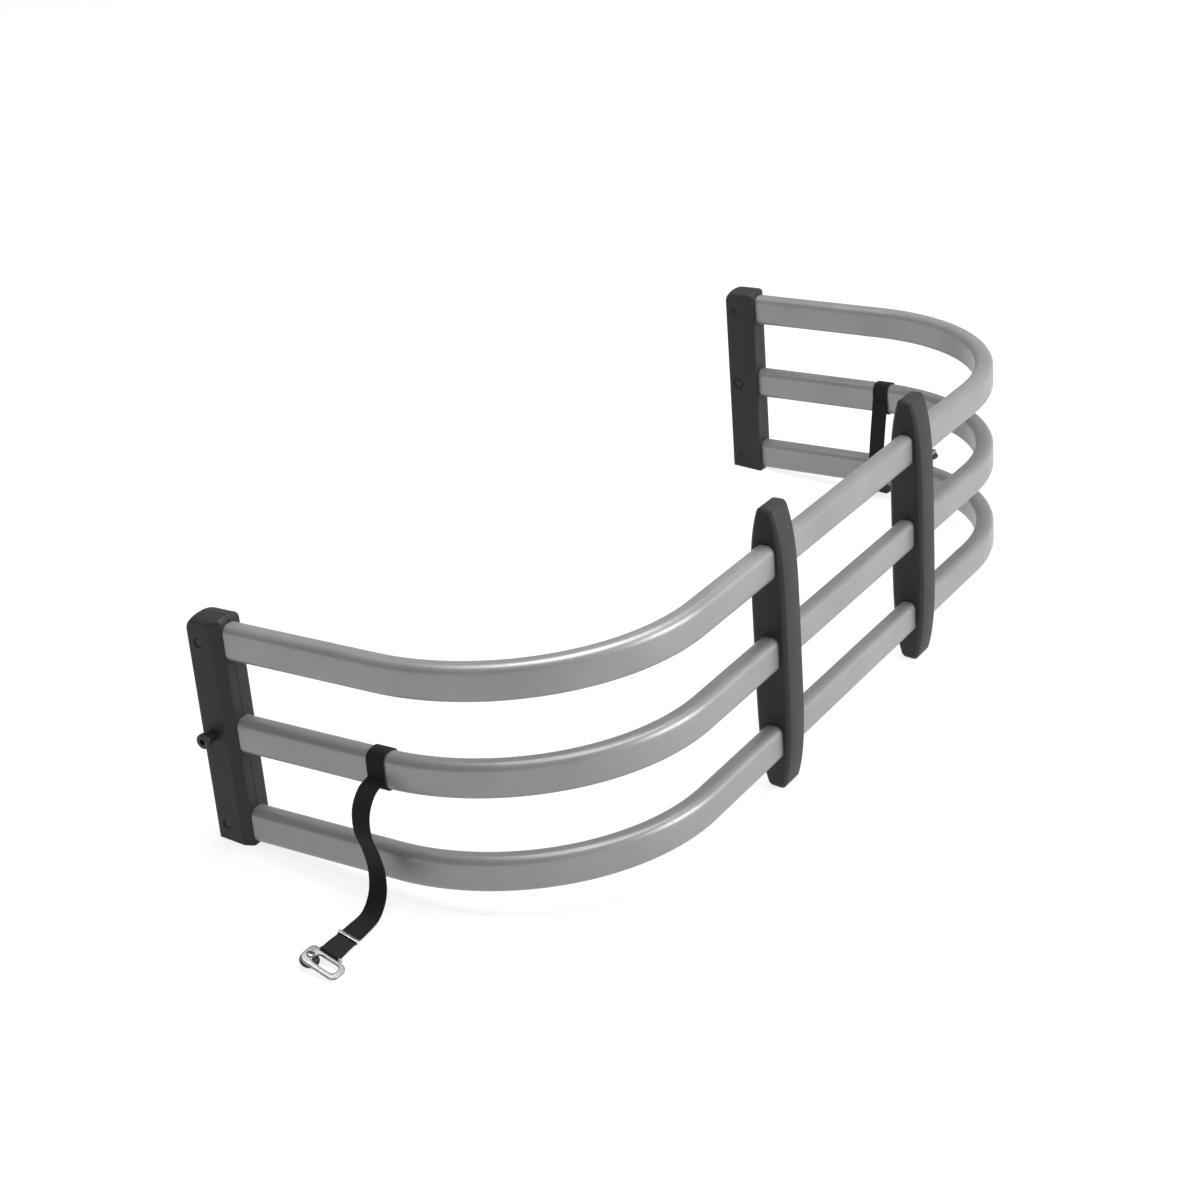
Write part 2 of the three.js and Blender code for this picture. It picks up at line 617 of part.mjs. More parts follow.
function buildCage() {
  const cage = new THREE.Group();
  for (const [row, level] of Object.entries(railLevels)) {
    cage.add(piece(`inner_rail_${row}`, innerRail(level), 'aluminium'));
  }
  for (const [name, side] of Object.entries(sides)) {
    cage.add(piece(`${name}_centre_upright`, centreUpright(side), 'plastic'));
    cage.add(piece(`${name}_end_shell_outer`, endShell(side, 1), 'plastic'));
    cage.add(piece(`${name}_end_shell_inner`, endShell(side, -1), 'plastic'));
    cage.add(piece(`${name}_pivot_pin`, pivotPin(side), 'steel'));
    cage.add(piece(`${name}_pivot_nut`, pivotNut(side), 'steel'));
    cage.add(piece(`${name}_strap_loop`, strapLoop(side), 'webbing'));
    for (const [row, level] of Object.entries(railLevels)) {
      cage.add(piece(`${name}_rail_${row}`, outerRail(side, level), 'aluminium'));
      cage.add(piece(`${name}_clamp_screw_${row}`, clampScrew(side, level), 'steel'));
      if (level === 0) continue;
      cage.add(piece(`${name}_end_bolt_${row}`, endBolt(side, level), 'steel'));
      cage.add(piece(`${name}_end_nut_${row}`, endNut(side, level), 'steel'));
    }
  }
  return cage;
}

function buildStraps() {
  const straps = new THREE.Group();
  for (const [name, side] of Object.entries(sides)) {
    straps.add(piece(`${name}_strap`, strapTail(side), 'webbing'));
    straps.add(piece(`${name}_slider`, slider(side), 'casting'));
    straps.add(piece(`${name}_latch_plate`, latchPlate(side), 'casting'));
    straps.add(piece(`${name}_knob_screw`, knobScrew(side), 'steel'));
    straps.add(piece(`${name}_knob`, knob(side), 'plastic'));
  }
  return straps;
}

const extender = new THREE.Group();
const cage = buildCage();
cage.rotation.x = -LEAN;
cage.position.z = FOOT_DROP * Math.cos(LEAN) + railY * Math.sin(LEAN);
extender.add(cage, buildStraps());
extender.position.y = -STANDING_CENTRE_Y;

export default extender;
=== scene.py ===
import json
import math

import bmesh
import bpy
from mathutils import Matrix, Vector

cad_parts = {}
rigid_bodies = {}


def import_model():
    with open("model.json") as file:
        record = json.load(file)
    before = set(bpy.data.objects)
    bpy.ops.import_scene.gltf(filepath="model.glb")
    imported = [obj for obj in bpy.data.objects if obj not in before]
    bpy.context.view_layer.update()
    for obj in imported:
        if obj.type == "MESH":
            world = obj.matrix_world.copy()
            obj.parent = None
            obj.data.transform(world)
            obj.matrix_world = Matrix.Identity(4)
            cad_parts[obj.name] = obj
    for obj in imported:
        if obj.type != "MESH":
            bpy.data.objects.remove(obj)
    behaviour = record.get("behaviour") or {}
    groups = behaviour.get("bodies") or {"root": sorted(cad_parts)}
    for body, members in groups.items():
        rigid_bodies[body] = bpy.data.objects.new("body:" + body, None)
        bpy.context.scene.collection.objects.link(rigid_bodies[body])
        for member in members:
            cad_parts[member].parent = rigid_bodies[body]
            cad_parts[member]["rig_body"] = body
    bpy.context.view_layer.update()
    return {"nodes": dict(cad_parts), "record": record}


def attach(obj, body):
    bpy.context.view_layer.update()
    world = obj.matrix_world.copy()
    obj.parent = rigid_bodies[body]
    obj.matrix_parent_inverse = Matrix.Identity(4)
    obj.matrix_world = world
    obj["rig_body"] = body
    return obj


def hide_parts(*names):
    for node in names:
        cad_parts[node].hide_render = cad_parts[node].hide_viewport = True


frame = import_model()

# Lengths below are millimetres in the cage's own level frame unless they say otherwise: y = 0 on the
# front face of the rails, z = 0 on the middle rail. CAGE takes them to the row frame in metres.
MM = 0.001
LEAN = math.radians(5)                # the cage leans back on its feet
FOOT_DROP = 196                       # from the middle rail down to the floor
CENTRE_Y = 273.7
GAP = 0.3                             # between pieces that touch

PITCH = 127                           # from one rail to the next
LEVELS = {"top": PITCH, "middle": 0, "bottom": -PITCH}
SIDES = {"left": -1, "right": 1}
OUTER = {"height": 47.5, "depth": 27.5, "corner": 10.5, "wall": 1.2}
INNER = {"height": 44.5, "depth": 24.5, "corner": 9, "wall": 1.6}
RAIL_Y = OUTER["depth"] / 2
ARM_X = 690 - RAIL_Y
BEND_R = 273
BEND_X = ARM_X - BEND_R
BEND_Y = RAIL_Y + BEND_R
BEND_CLEARANCE = 31                   # from an inner rail's end to the bend, at rest
ARM_END = 505                         # where an arm's rails meet the end upright
ARM_INSERT = 16                       # how far the rails go into it

UP_OUT = 228                          # a centre upright's outer face
UP_WIDE = 46
UP_TOP = 199
UP_HALF = 24.5                        # half its depth at the middle
UP_CHAMFER = 4.5
UP_SOCKET = 28                        # how far the outer rails go in
UP_END_RADIUS = 5
UP_TAPER = {"reach": 222, "power": 4.8}

END_HALF = 22                         # half an end upright's width
END_DEEP = 52
END_TOP = 160
END_CROWN = 5
END_EDGE = 1.5                        # radius along the outer face's edge
END_SEAM = 0.6                        # radius along the seam between the shells
END_CORNER = 4
END_BEVEL = {"back": 14, "across": 7}
BOLT_Y = ARM_END + 35

CAGE_LIFT = FOOT_DROP * math.cos(LEAN) + RAIL_Y * math.sin(LEAN)
CAGE = (Matrix.Scale(MM, 4) @ Matrix.Translation((0, -CENTRE_Y, CAGE_LIFT))
        @ Matrix.Rotation(-LEAN, 4, "X"))
STANDING = Matrix.Scale(MM, 4) @ Matrix.Translation((0, -CENTRE_Y, 0))

STRAP_WIDE = 26
STRAP_THICK = 1.5
LOOPS = {"left": (293.5, 0), "right": (281, math.radians(1.3))}     # place along the arm, turn
LOOP_SLACK = 0.7
PLATE_TILT = math.radians(14.8)
PLATE_AT = {"left": (833.8, 260.5, 9.5), "right": (830.8, 280.4, 9.5)}
PLATE_THICK = 4
PLATE_NEAR = 4.4                      # from the bar's line to the plate's near edge
WINDOW = {"centre": (17.25, 5.5, 0), "length": 33, "width": 16.5, "corner": 6.2}
SCREW_AT = (18, -16, 0)
KNOB_HIGH = 8.4
BAR_R = 1.7
# The straps' middle lines in the standing frame, x counted outwards from the cage's middle.
ROUTES = {
    "left": [(692.8, 291.7, 162.5), (711, 291.7, 156.5), (727, 289.5, 138), (730.5, 286, 110),
             (722.5, 281.5, 80), (718.5, 277.5, 52), (725, 273, 25), (745, 268.5, 9), (775, 266.2, 6.6),
             (803, 264.4, 8), (830.6, 262.2, 9.2)],
    "right": [(658.7, 279.6, 170), (658.6, 279.4, 158), (657, 279, 140), (655, 278.5, 110), (653, 277.5, 80),
              (652.5, 276.5, 50), (655, 276, 26), (668, 276, 8.6), (694, 276.3, 4.2), (730, 277.1, 4.2),
              (770, 278, 6.6), (799, 278.5, 7.8), (828.2, 278.7, 9.2)],
}
TWIST = {"left": (0.62, 0.85), "right": (0.68, 0.88)}     # shares of the length where it turns
SLIDER_BACK = 36                      # from the strap's end to its slider


# ---------------------------------------------------------------- camera
def make_camera():
    data = bpy.data.cameras.new("camera")
    data.sensor_width = 36
    data.lens = 69.01
    camera = bpy.data.objects.new("camera", data)
    bpy.context.scene.collection.objects.link(camera)
    right = Vector((0.52429832, -0.85153366, 0))
    back = Vector((-0.75635579, -0.46499074, 0.46011904))
    right.normalize()
    back = (back - right * back.dot(right)).normalized()
    up = back.cross(right)
    turn = Matrix((right, up, back)).transposed().to_4x4()
    camera.matrix_world = Matrix.Translation((-2.526516, -1.422124, 1.602428)) @ turn
    bpy.context.scene.camera = camera


# ---------------------------------------------------------------- meshes
def link(name, mesh):
    obj = bpy.data.objects.new(name, mesh)
    bpy.context.scene.collection.objects.link(obj)
    return obj


def loft(name, rings, wrap=False, uv=None):
    """Joins rings of equal length into a closed solid.

    wrap joins the last ring to the first, and otherwise both ends are capped. uv gives (u, v) in metres
    for ring i, point j.
    """
    bm = bmesh.new()
    verts = [[bm.verts.new(p) for p in ring] for ring in rings]
    layer = bm.loops.layers.uv.new("UVMap") if uv else None
    count = len(rings[0])
    for i in range(len(rings) if wrap else len(rings) - 1):
        for j in range(count):
            corners = [(i, j), (i, j + 1), (i + 1, j + 1), (i + 1, j)]
            face = bm.faces.new([verts[a % len(rings)][b % count] for a, b in corners])
            if layer:
                for loop, (a, b) in zip(face.loops, corners):
                    loop[layer].uv = uv(a, b)
    if not wrap:
        bm.faces.new(verts[0][::-1])
        bm.faces.new(verts[-1])
    bmesh.ops.recalc_face_normals(bm, faces=bm.faces)
    mesh = bpy.data.meshes.new(name)
    bm.to_mesh(mesh)
    bm.free()
    return link(name, mesh)


def lathe(name, profile, place, segments=48):
    """Turns (radius, height) pairs about Z, from axis to axis. place takes the result to the row frame."""
    bm = bmesh.new()
    rings = []
    for radius, height in profile:
        if radius == 0:
            rings.append([bm.verts.new((0, 0, height))])
            continue
        turn = [2 * math.pi * k / segments for k in range(segments)]
        rings.append([bm.verts.new((radius * math.cos(a), radius * math.sin(a), height)) for a in turn])
    for low, high in zip(rings, rings[1:]):
        for k in range(segments):
            after = k + 1
            quad = [low[k % len(low)], low[after % len(low)], high[after % len(high)], high[k % len(high)]]
            bm.faces.new(list(dict.fromkeys(quad)))
    bmesh.ops.recalc_face_normals(bm, faces=bm.faces)
    mesh = bpy.data.meshes.new(name)
    bm.to_mesh(mesh)
    bm.free()
    mesh.transform(place)
    return link(name, mesh)


def combine(obj, operation, others):
    """Joins or cuts other closed solids into obj, one after another, and removes them."""
    for other in others:
        step = obj.modifiers.new("step", "BOOLEAN")
        step.operation = operation
        step.solver = "EXACT"
        step.object = other
    evaluated = obj.evaluated_get(bpy.context.evaluated_depsgraph_get())
    mesh = bpy.data.meshes.new_from_object(evaluated)
    obj.modifiers.clear()
    obj.data = mesh
    for other in others:
        bpy.data.objects.remove(other)


def smooth(obj, degrees=32):
    for polygon in obj.data.polygons:
        polygon.use_smooth = True
    obj.data.set_sharp_from_angle(angle=math.radians(degrees))


def finish_piece(obj, nodes, material, degrees=32):
    """Shading, material and body for a piece that stands for the given CAD nodes, which are hidden."""
    smooth(obj, degrees)
    obj.data.materials.clear()
    obj.data.materials.append(material)
    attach(obj, frame["nodes"][nodes[0]]["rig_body"])
    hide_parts(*nodes)
    return obj


# ---------------------------------------------------------------- outlines
def rounded_rectangle(length, breadth, radius, steps=8):
    """Points round a rounded rectangle, long side along the first axis."""
    points = []
    for quarter, (sx, sy) in enumerate([(1, 1), (-1, 1), (-1, -1), (1, -1)]):
        for step in range(steps + 1):
            angle = (quarter + step / steps) * math.pi / 2
            points.append((sx * (length / 2 - radius) + radius * math.cos(angle),
                           sy * (breadth / 2 - radius) + radius * math.sin(angle)))
    return points


def rail_section(rail, grow=0, steps=8):
    height, depth = rail["height"] + 2 * grow, rail["depth"] + 2 * grow
    return rounded_rectangle(height, depth, rail["corner"] + grow, steps)


def section_ring(section, centre, sideways, to_row=CAGE):
    """Puts a (height, depth) section at a place, depth along `sideways` and height along z."""
    return [to_row @ (centre + sideways * depth + Vector((0, 0, height))) for height, depth in section]


def floor_z(y):
    return -FOOT_DROP + math.tan(LEAN) * (y - RAIL_Y)


def smoothstep(x, low, high):
    t = min(1, max(0, (x - low) / (high - low)))
    return t * t * (3 - 2 * t)


def inset_outline(points, inset):
    """Moves each point in along the mitre of its two edges. The outline runs anticlockwise."""
    moved = []
    for k, point in enumerate(points):
        here = Vector(point)
        before = (here - Vector(points[k - 1])).normalized()
        after = (Vector(points[(k + 1) % len(points)]) - here).normalized()
        normal = (Vector((-before.y, before.x)) + Vector((-after.y, after.x))).normalized()
        reach = max(0.4, normal.dot(Vector((-before.y, before.x))))
        moved.append(here + normal * (inset / reach))
    return moved


# ---------------------------------------------------------------- rails
def hollow_rail(name, rail, stations):
    outside = rail_section(rail)
    inside = rail_section(rail, -rail["wall"])
    outer = [section_ring(outside, *s) for s in stations]
    inner = [section_ring(inside, *s) for s in stations]
    return loft(name, outer + inner[::-1], wrap=True)


def make_rails():
    for row, level in LEVELS.items():
        reach = BEND_X - BEND_CLEARANCE
        ends = [(Vector((x, RAIL_Y, level)), Vector((0, 1, 0))) for x in (-reach, 0, reach)]
        node = f"inner_rail_{row}"
        finish_piece(hollow_rail(f"fine_{node}", INNER, ends), [node], LOOKS["rail"])
        for name, side in SIDES.items():
            node = f"{name}_rail_{row}"
            finish_piece(hollow_rail(f"fine_{node}", OUTER, j_stations(side, level)), [node], LOOKS["rail"])


def j_stations(side, level, steps=44):
    inward = Vector((0, 1, 0))
    start = UP_OUT - UP_SOCKET + GAP
    stations = [(Vector((side * x, RAIL_Y, level)), inward) for x in (start, (start + BEND_X) / 2)]
    for step in range(steps + 1):
        angle = step / steps * math.pi / 2
        radial = Vector((side * math.sin(angle), -math.cos(angle), 0))
        stations.append((Vector((side * BEND_X, BEND_Y, level)) + radial * BEND_R, -radial))
    for y in (ARM_END - 100, ARM_END + ARM_INSERT):
        stations.append((Vector((side * ARM_X, y, level)), Vector((-side, 0, 0))))
    return stations


# ---------------------------------------------------------------- centre uprights
def upright_outline(inset):
    """(y, z) points round the side outline, drawn in by `inset`."""
    steps, crowding = 30, 1.8
    rise = [UP_TOP * (1 - (1 - k / steps) ** crowding) for k in range(steps + 1)]
    drop = [-FOOT_DROP * (1 - (1 - k / steps) ** crowding) for k in range(1, steps + 1)]
    points = [(1, z) for z in drop[::-1] + rise] + [(-1, z) for z in rise[::-1] + drop]
    outline = []
    for sign, z in points:
        deep = upright_depth(z) * (1 - inset / UP_HALF)
        y = RAIL_Y + sign * deep
        high = z * (1 - inset / UP_TOP) if z > 0 else z * (1 - inset / FOOT_DROP)
        slant = math.tan(LEAN) * (y - RAIL_Y) * smoothstep(-z, FOOT_DROP - 40, FOOT_DROP)
        outline.append((y, high + slant))
    return outline


def upright_depth(z):
    """Half the upright's depth at z, with the corners of its top and foot rounded."""
    end = UP_TOP if z > 0 else FOOT_DROP
    boat = UP_HALF * (1 - (abs(z) / UP_TAPER["reach"]) ** UP_TAPER["power"])
    return boat - round_over(abs(z) - (end - UP_END_RADIUS), UP_END_RADIUS)


def chamfer_profile(chamfer, soft=1.0):
    """(distance from the end face, inset) pairs for a chamfer with softened edges."""
    near = [(0, chamfer + soft * 0.35), (soft * 0.12, chamfer + 0.1 * soft),
            (soft * 0.45, chamfer - 0.45 * soft)]
    far = [(chamfer - 0.45 * soft, 0.45 * soft), (chamfer + 0.1 * soft, 0.12 * soft),
           (chamfer + soft * 0.5, 0)]
    return near + far


def stepped_plug(side, level):
    """The socket that takes an outer rail and lets the inner rail run on through."""
    sections = [(UP_OUT + 12, OUTER), (UP_OUT - UP_SOCKET, OUTER),
                (UP_OUT - UP_SOCKET - 0.01, INNER), (UP_OUT - UP_WIDE - 12, INNER)]
    rings = [section_ring(rail_section(rail, GAP, 6), Vector((side * x, RAIL_Y, level)), Vector((0, 1, 0)))
             for x, rail in sections]
    return loft("plug", rings)


def make_centre_upright(name, side):
    profile = chamfer_profile(UP_CHAMFER)
    stations = [(UP_OUT - UP_WIDE + d, i) for d, i in profile] + [(UP_OUT - d, i) for d, i in profile[::-1]]
    rings = [[CAGE @ Vector((side * x, y, z)) for y, z in upright_outline(inset)] for x, inset in stations]
    node = f"{name}_centre_upright"
    upright = loft(f"fine_{node}", rings)
    cutters = [stepped_plug(side, level) for level in LEVELS.values()]
    for level in LEVELS.values():
        face = RAIL_Y + UP_HALF
        mouth = Matrix.Translation((side * (UP_OUT - UP_WIDE + 9), face - 8, level))
        bore = mouth @ Matrix.Rotation(-math.pi / 2, 4, "X")
        cutters.append(lathe("bore", [(0, -4), (4.3, -4), (4.3, 12), (0, 12)], CAGE @ bore, 24))
    combine(upright, "DIFFERENCE", cutters)
    finish_piece(upright, [node], LOOKS["plastic"])


# ---------------------------------------------------------------- end uprights
def shell_outline(x, outside):
    """(y, z) points of an end shell's side outline at x from the arm's middle plane."""
    corner = round_over(x - (END_HALF - END_CORNER), END_CORNER)
    inset = round_over(x - (END_HALF - END_EDGE), END_EDGE)
    inset += round_over(END_SEAM + GAP / 2 - x, END_SEAM)
    front = ARM_END + inset
    front += bevel_depth(x) if outside else corner
    back = ARM_END + END_DEEP - inset - corner
    top = END_TOP - END_CROWN * (x / END_HALF) ** 2.5 - inset
    points = [(front, floor_z(front) + inset), (back, floor_z(back) + inset)]
    for radius, centre, start in ((14, back - 14, 0), (6, front + 6, math.pi / 2)):
        for k in range(11):
            angle = start + k / 10 * math.pi / 2
            points.append((centre + radius * math.cos(angle), top - radius + radius * math.sin(angle)))
    return points


def round_over(past, radius):
    """How far an edge of this radius has turned in, `past` its start."""
    past = min(max(past, 0), radius)
    return radius - math.sqrt(radius * radius - past * past)


def bevel_depth(x):
    """The broad bevel on the outer shell's front edge, averaged over a short reach to soften it."""
    across = END_BEVEL["across"]
    start = END_HALF - across
    reach = [x + d for d in (-1.2, -0.6, 0, 0.6, 1.2)]
    shares = [max(0, (min(r, END_HALF) - start) / across) for r in reach]
    return END_BEVEL["back"] * sum(shares) / len(shares)


def bolt_cutter(side, level):
    """One stepped hole across the upright: seats at both faces and a clear hole between them."""
    middle = level == 0
    shank = 7.3 if middle else 3.3
    inner_seat, outer_seat = (9, shank) if middle else (6.2, 6.2)
    deep = 6.3 if middle else 5.3
    face = ARM_X + END_HALF
    near = ARM_X - END_HALF
    profile = [(0, near - 5), (inner_seat, near - 5), (inner_seat, near + deep), (shank, near + deep),
               (shank, face - 5.3), (outer_seat, face - 5.3 + 0.01), (outer_seat, face + 5), (0, face + 5)]
    place = Matrix.Translation((0, BOLT_Y, level)) @ Matrix.Rotation(side * math.pi / 2, 4, "Y")
    return lathe("bolt hole", profile, CAGE @ place, 32)


def make_end_shell(name, side, half, word):
    depths = [0.15, 0.3, 0.5, 0.75, 3, 6, 9, 12, 13.5, 14.2, 15, 15.8, 16.5, 18, 19, 20, 20.5, 21,
              21.4, 21.7, 21.9, 22]
    rings = [[CAGE @ Vector((side * (ARM_X + half * x), y, z)) for y, z in shell_outline(x, half > 0)]
             for x in depths]
    node = f"{name}_end_shell_{word}"
    shell = loft(f"fine_{node}", rings)
    cutters = [bolt_cutter(side, level) for level in LEVELS.values()]
    for level in LEVELS.values():
        ends = [Vector((side * ARM_X, y, level)) for y in (ARM_END - 12, ARM_END + ARM_INSERT + GAP)]
        section = rail_section(OUTER, GAP, 6)
        cutters.append(loft("plug", [section_ring(section, end, Vector((-side, 0, 0))) for end in ends]))
    combine(shell, "DIFFERENCE", cutters)
    finish_piece(shell, [node], LOOKS["plastic"], 40)


# ---------------------------------------------------------------- pivot pins
def hexagon_cutter(radius, low, high, place):
    """Cuts a hexagon socket."""
    return lathe("hexagon", [(0, low), (radius, low), (radius, high), (0, high)], place, 6)


def make_pivot_pin(name, side):
    start = ARM_X - END_HALF + 1
    face = ARM_X + END_HALF
    neck = face + 12
    head = face + 20
    thread = [(0, start), (4.4, start), (5, start + 0.6), (5, start + 5.6)]
    shank = [(7, start + 5.6), (7, neck - 0.8), (7.8, neck)]
    button = [(9.2, neck), (9.8, neck + 0.3), (10, neck + 0.9), (10, head - 1.8), (9.7, head - 0.9),
              (9, head - 0.3), (8.2, head), (5.2, head), (4.8, head - 0.3), (0, head - 0.3)]
    profile = thread + shank + button
    place = CAGE @ Matrix.Translation((0, BOLT_Y, 0)) @ Matrix.Rotation(side * math.pi / 2, 4, "Y")
    pin = lathe(f"fine_{name}_pivot_pin", profile, place, 64)
    combine(pin, "DIFFERENCE", [hexagon_cutter(4.3, head - 4.5, head + 2, place)])
    finish_piece(pin, [f"{name}_pivot_pin"], LOOKS["black_steel"])


# ---------------------------------------------------------------- webbing
def catmull(points, spacing=2.0):
    """Points about `spacing` apart on a centripetal Catmull-Rom curve through the given points."""
    points = [Vector(p) for p in points]
    points = [2 * points[0] - points[1]] + points + [2 * points[-1] - points[-2]]
    line = []
    for a, b, c, d in zip(points, points[1:], points[2:], points[3:]):
        t = [0]
        for p, q in ((a, b), (b, c), (c, d)):
            t.append(t[-1] + (q - p).length ** 0.5)
        count = max(2, round((c - b).length / spacing))
        for k in range(count):
            u = t[1] + (t[2] - t[1]) * k / count
            first = mix(a, b, t[0], t[1], u), mix(b, c, t[1], t[2], u), mix(c, d, t[2], t[3], u)
            second = mix(first[0], first[1], t[0], t[2], u), mix(first[1], first[2], t[1], t[3], u)
            line.append(mix(second[0], second[1], t[1], t[2], u))
    return line + [points[-2]]


def mix(p, q, low, high, u):
    return p * ((high - u) / (high - low)) + q * ((u - low) / (high - low))


def lengths(line):
    total = [0]
    for p, q in zip(line, line[1:]):
        total.append(total[-1] + (q - p).length)
    return total


def ribbon(name, line, across, to_row, closed=False):
    """A strip of webbing along `line`. across(i) is its width direction.

    UVs are (across, along) in metres.
    """
    edge = STRAP_THICK / 2
    flat = STRAP_WIDE / 2 - 0.6
    half = [(-flat + 2 * flat * k / 8, edge) for k in range(9)]
    section = half + [(flat + 0.45, edge * 0.6), (flat + 0.6, 0), (flat + 0.45, -edge * 0.6)]
    section += [(w, -edge) for w, _ in half[::-1]]
    section += [(-flat - 0.45, -edge * 0.6), (-flat - 0.6, 0), (-flat - 0.45, edge * 0.6)]
    along = lengths(line + line[:1] if closed else line)
    rings = []
    for i, point in enumerate(line):
        ahead = line[(i + 1) % len(line)] if closed or i + 1 < len(line) else point
        behind = line[i - 1] if closed or i else point
        direction = (ahead - behind).normalized()
        wide = across(i)
        wide = (wide - direction * wide.dot(direction)).normalized()
        up = direction.cross(wide)
        rings.append([to_row @ (point + wide * w + up * h) for w, h in section])
    place = [w for w, _ in section] + [section[0][0]]

    def weave(ring, corner):
        return place[corner % len(section)] * MM, along[min(ring, len(along) - 1)] * MM

    return loft(name, rings, closed, weave)


def strap_across(name, side, share):
    twist = -side * PLATE_TILT * smoothstep(share, *TWIST[name])
    return Vector((0, math.cos(twist), math.sin(twist)))


def latch_place(name, side):
    """The latch's own frame: x away from the cage, y along the bar and away from the knob."""
    x, y, z = PLATE_AT[name]
    half_turn = Matrix.Rotation(math.pi if side < 0 else 0, 4, "Z")
    spot = STANDING @ Matrix.Translation((side * x, y, z))
    return spot @ half_turn @ Matrix.Rotation(-PLATE_TILT, 4, "X")


def strap_end(name, side, line):
    """The end of the strap goes over the latch's bar, down its slot and back underneath to the slider."""
    bar = STANDING.inverted() @ latch_place(name, side)
    normal = (bar.to_3x3() @ Vector((0, 0, 1))).normalized()
    outward = (bar.to_3x3() @ Vector((1, 0, 0))).normalized()
    share = [length / lengths(line)[-1] for length in lengths(line)]
    tail = 1 - SLIDER_BACK / lengths(line)[-1]
    lift = BAR_R + STRAP_THICK / 2 + 0.1
    upper = [p + normal * (smoothstep(s, tail, 0.985) * (lift - 0.1)) for p, s in zip(line, share)]
    bar_line = bar.to_3x3() @ Vector((0, 1, 0))
    middle = bar.translation + (line[-1] - bar.translation).project(bar_line)
    around = [middle + normal * (lift * math.cos(a)) + outward * (lift * math.sin(a))
              for a in (math.pi * k / 12 for k in range(13))]
    back = [p for p, s in zip(line, share) if s > tail - 0.02][::-1][1:]
    drops = [lift + (0.85 - lift) * smoothstep((k + 1) / len(back), 0, 0.6) for k in range(len(back))]
    lower = [p - normal * drop for p, drop in zip(back, drops)]
    return upper, around + lower


def make_strap(name, side):
    line = [Vector((side * x, y, z)) for x, y, z in catmull(ROUTES[name])]
    along = lengths(line)
    upper, rest = strap_end(name, side, line)
    route = upper + rest
    turn = [strap_across(name, side, a / along[-1]) for a in along]
    turn += [strap_across(name, side, 1)] * len(rest)
    node = f"{name}_strap"
    strap = ribbon(f"fine_{node}", route, lambda i: turn[i], STANDING)
    finish_piece(strap, [node], LOOKS["webbing"], 50)


def make_loop(name, side):
    y, turn = LOOPS[name]
    out = LOOP_SLACK + STRAP_THICK / 2 + 0.05
    height, depth = OUTER["height"] + 2 * out, OUTER["depth"] + 2 * out
    section = rounded_rectangle(height, depth, OUTER["corner"] + out, 8)
    place = CAGE @ Matrix.Translation((side * ARM_X, y, 0)) @ Matrix.Rotation(-side * turn, 4, "Z")
    line = []
    for (h0, d0), (h1, d1) in zip(section, section[1:] + section[:1]):
        steps = max(1, round(math.hypot(h1 - h0, d1 - d0) / 3))
        line += [Vector((d0 + (d1 - d0) * k / steps, 0, h0 + (h1 - h0) * k / steps)) for k in range(steps)]
    node = f"{name}_strap_loop"
    loop = ribbon(f"fine_{node}", line, lambda i: Vector((0, 1, 0)), place, closed=True)
    finish_piece(loop, [node], LOOKS["webbing"], 50)


# ---------------------------------------------------------------- slider and latch
def edge_profile(thickness, edge, steps=4):
    """(height, inset) pairs up through a slab with rounded edges."""
    upper = []
    for step in range(steps + 1):
        angle = step / steps * math.pi / 2
        upper.append((thickness / 2 - edge + edge * math.sin(angle), edge - edge * math.cos(angle)))
    return [(-height, inset) for height, inset in upper[::-1]] + upper


def slab(name, outline, thickness, edge, place):
    """A flat plate with rounded edges. Its outline runs anticlockwise."""
    rings = [[place @ Vector((x, y, height)) for x, y in inset_outline(outline, inset)]
             for height, inset in edge_profile(thickness, edge)]
    return loft(name, rings)


def window(outline, thickness, edge, place):
    """What a rounded window takes out of a slab."""
    flare = [(height, -inset) for height, inset in edge_profile(thickness, edge)]
    flare = [(-thickness, -edge)] + flare + [(thickness, -edge)]
    return loft("window", [[place @ Vector((x, y, height)) for x, y in inset_outline(outline, grow)]
                           for height, grow in flare])


def arc(cx, cy, radius, start, end, steps=10):
    angles = [math.radians(start + (end - start) * k / steps) for k in range(steps + 1)]
    return [(cx + radius * math.cos(a), cy + radius * math.sin(a)) for a in angles]


def plate_outline():
    corner = 9
    return (arc(9.5, -16, corner, 200, 270) + arc(20.5, -13, 12, 270, 360) + arc(23.5, 20, corner, 0, 90)
            + arc(PLATE_NEAR + corner, 20, corner, 90, 180) + [(PLATE_NEAR, -12), (PLATE_NEAR - 1, -14)])


def latch_bar():
    """The round bar that the strap turns about, and the two lugs that hold it."""
    half, soft = 16.6, BAR_R - 0.3
    rod = [(0, -half), (soft, -half), (BAR_R, 0.4 - half), (BAR_R, half - 0.4), (soft, half), (0, half)]
    pieces = [lathe("bar", rod, Matrix.Rotation(math.pi / 2, 4, "X"), 24)]
    start, end, wide = -0.6, PLATE_NEAR + 2, 1.4
    for y in (-15.5, 15.3):
        lug = [(start, y - wide), (end, y - wide), (end, y + wide), (start, y + wide)]
        pieces.append(slab("lug", lug, 3, 0.5, Matrix.Translation((0, 0, -0.4))))
    return pieces


def latch_holes(spot):
    """The window, and the screw's hole with a shallow round seat."""
    seat = PLATE_THICK / 2 - 0.9
    hole = [(0, -6), (2.3, -6), (2.3, seat), (5.4, seat), (5.7, seat + 3), (0, seat + 3)]
    outline = rounded_rectangle(WINDOW["length"], WINDOW["width"], WINDOW["corner"], 10)
    turned = Matrix.Translation(WINDOW["centre"]) @ Matrix.Rotation(math.pi / 2, 4, "Z")
    return [window(outline, PLATE_THICK, 0.9, turned), lathe("hole", hole, spot, 48)]


